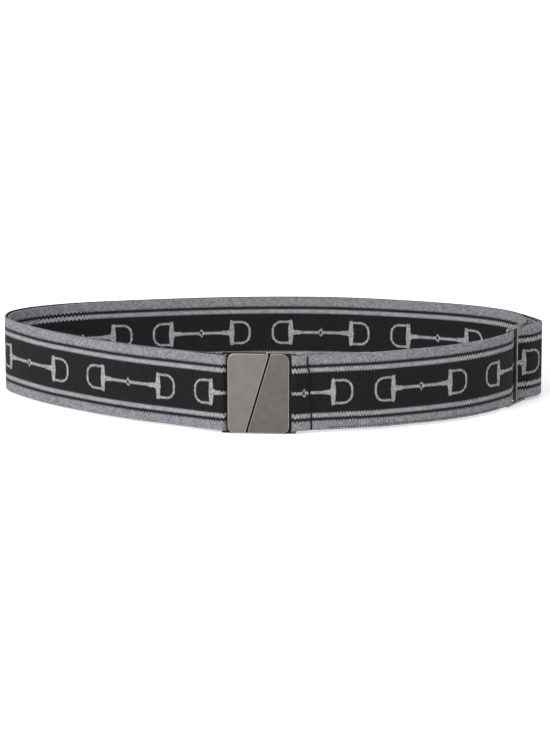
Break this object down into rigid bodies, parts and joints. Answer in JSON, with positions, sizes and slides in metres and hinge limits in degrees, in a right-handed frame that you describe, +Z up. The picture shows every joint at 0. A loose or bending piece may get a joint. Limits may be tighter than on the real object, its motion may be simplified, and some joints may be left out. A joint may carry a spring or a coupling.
{
  "type": "stretch belt, fastened, standing on its edge",
  "caption": "Woven elastic waist belt with a two-part interlocking metal buckle and a metal slide adjuster, closed into a loop.",
  "frame": {"origin": "middle of the belt's box at floor level, with the belt standing on the lower edge of its strap and buckle", "axes": "+X to the right as the buckle is seen from the front, along the long way of the loop; the buckle faces -Y; +Z up, across the strap's width"},
  "size_m": [0.2927, 0.1621, 0.043],
  "materials": {
    "elastic": "black woven elastic with grey edge stripes and a grey row of snaffle bits",
    "pewter": "antique pewter plating, satin, lighter on worn edges",
    "dark_pewter": "antique pewter plated wire and rails, satin"
  },
  "bodies": {
    "root": {"strap": "elastic", "buckle_left": "pewter", "buckle_right": "pewter", "slide": "dark_pewter"}
  },
  "joints": []
}
